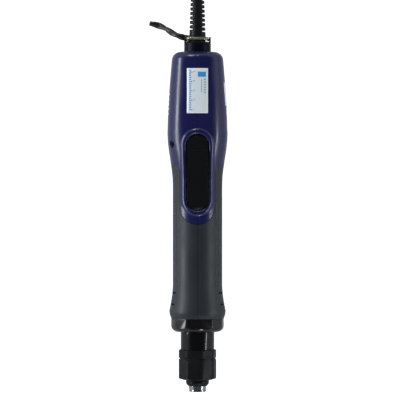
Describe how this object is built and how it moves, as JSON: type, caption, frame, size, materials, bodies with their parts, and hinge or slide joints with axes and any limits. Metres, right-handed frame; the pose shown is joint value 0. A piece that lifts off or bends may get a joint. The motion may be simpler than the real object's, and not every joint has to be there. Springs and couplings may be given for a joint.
{
  "type": "electric torque screwdriver",
  "caption": "Slim corded electric torque screwdriver: grip with start lever, adjustable torque nut, hex bit chuck, hanging bail and ribbed strain relief.",
  "frame": {"origin": "bottom centre of the tool's box without its cord and strap, on the surface that its back lies on", "axes": "+Y along the tool from its tip to its cord, +Z out of the lever side, +X to the right seen from the lever side with the cord up"},
  "size_m": [0.0731, 0.4237, 0.0423],
  "materials": {
    "housing_navy": "satin",
    "grip_grey": "fine matte",
    "black_gloss": "glossy",
    "black_plastic": "satin",
    "black_metal": "black oxide, satin",
    "collar_plastic": "satin",
    "steel": "machined",
    "bright_steel": "polished",
    "spring_steel": "drawn wire",
    "brass": "drawn, slightly dull",
    "copper": "wound",
    "rubber_black": "matte",
    "cord_black": "matte sleeve",
    "strap_black": "braided sleeve",
    "board_green": "solder mask",
    "part_black": "moulded",
    "plunger_red": "moulded",
    "gold": "plated"
  },
  "bodies": {
    "housing": {"housing_left": "housing_navy", "housing_right": "housing_navy", "grip_left": "grip_grey", "grip_right": "grip_grey", "end_ring": "black_gloss", "nose_tube": "black_metal", "top_collar": "collar_plastic", "strain_relief": "rubber_black", "housing_screws": "black_metal", "ring_gear": "steel", "bearing_holder": "steel", "spindle_bearings": "bright_steel", "motor_can": "steel", "motor_stator": "copper", "motor_bearings": "bright_steel", "control_board": "board_green", "board_parts": "part_black", "start_switch": "part_black", "lever_pin": "bright_steel", "lever_spring": "spring_steel", "direction_base": "part_black", "strap_ferrule": "brass", "strap": "strap_black", "cord_run": "cord_black", "cord_coil": "cord_black", "coil_tie": "black_plastic", "plug_body": "black_plastic", "plug_ring": "bright_steel", "plug_pins": "gold", "torque_spring": "spring_steel"},
    "lever": {"lever": "black_plastic"},
    "switch_plunger": {"switch_plunger": "plunger_red"},
    "direction_knob": {"direction_knob": "black_plastic"},
    "torque_feed": {"spring_seat": "steel"},
    "torque_nut": {"torque_nut": "black_metal"},
    "output": {"spindle": "bright_steel", "bit_ball": "bright_steel", "clutch_ring": "steel", "clutch_balls": "bright_steel", "clutch_cam": "steel", "planet_carrier": "steel", "chuck_spring": "spring_steel"},
    "chuck_sleeve": {"chuck_sleeve": "black_metal"},
    "rotor": {"rotor_shaft": "bright_steel", "rotor_core": "steel", "sun_gear": "steel"},
    "planet_1": {"planet_1": "steel"},
    "planet_2": {"planet_2": "steel"},
    "planet_3": {"planet_3": "steel"},
    "hanging_bail": {"hanging_bail": "brass"}
  },
  "joints": [
    {"name": "lever_press", "type": "hinge", "parent": "housing", "child": "lever", "pos_m": [0, 0.05475, 0.0378], "axis": [1, 0, 0], "range_deg": [0, 2.4], "stiffness_Nm_per_rad": 0.15, "springref_deg": -1.72, "deforming": ["lever_spring"]},
    {"name": "plunger_slide", "type": "slide", "parent": "housing", "child": "switch_plunger", "axis": [0, 0, -1], "range_m": [0, 0.0006]},
    {"name": "direction_slide", "type": "slide", "parent": "housing", "child": "direction_knob", "axis": [0, 1, 0], "range_m": [-0.003, 0.003]},
    {"name": "torque_feed", "type": "slide", "parent": "housing", "child": "torque_feed", "axis": [0, 1, 0], "range_m": [0, 0.006], "deforming": ["torque_spring"]},
    {"name": "torque_turn", "type": "hinge", "parent": "torque_feed", "child": "torque_nut", "pos_m": [0, -0.11125, 0.0206], "axis": [0, 1, 0], "range_deg": [0, 1440]},
    {"name": "output_spin", "type": "hinge", "parent": "housing", "child": "output", "pos_m": [0, -0.08125, 0.0206], "axis": [0, 1, 0], "continuous": true},
    {"name": "chuck_pull", "type": "slide", "parent": "output", "child": "chuck_sleeve", "axis": [0, -1, 0], "range_m": [0, 0.0025], "stiffness_N_per_m": 60, "springref_m": -0.0015, "deforming": ["chuck_spring"]},
    {"name": "motor_spin", "type": "hinge", "parent": "housing", "child": "rotor", "pos_m": [0, -0.00125, 0.0206], "axis": [0, 1, 0], "continuous": true},
    {"name": "planet_1_spin", "type": "hinge", "parent": "output", "child": "planet_1", "pos_m": [0.0072, -0.03205, 0.0206], "axis": [0, 1, 0], "continuous": true},
    {"name": "planet_2_spin", "type": "hinge", "parent": "output", "child": "planet_2", "pos_m": [-0.0036, -0.03205, 0.01436], "axis": [0, 1, 0], "continuous": true},
    {"name": "planet_3_spin", "type": "hinge", "parent": "output", "child": "planet_3", "pos_m": [-0.0036, -0.03205, 0.02684], "axis": [0, 1, 0], "continuous": true},
    {"name": "bail_swing", "type": "hinge", "parent": "housing", "child": "hanging_bail", "pos_m": [0, 0.12895, 0.0206], "axis": [-1, 0, 0], "range_deg": [-4, 60]}
  ],
  "couplings": [
    {"joint": "plunger_slide", "follows": "lever_press", "m_per_rad": 0.012},
    {"joint": "torque_turn", "follows": "torque_feed", "rad_per_m": 4188.8},
    {"joint": "motor_spin", "follows": "output_spin", "ratio": 4},
    {"joint": "planet_1_spin", "follows": "output_spin", "ratio": -3},
    {"joint": "planet_2_spin", "follows": "output_spin", "ratio": -3},
    {"joint": "planet_3_spin", "follows": "output_spin", "ratio": -3}
  ]
}
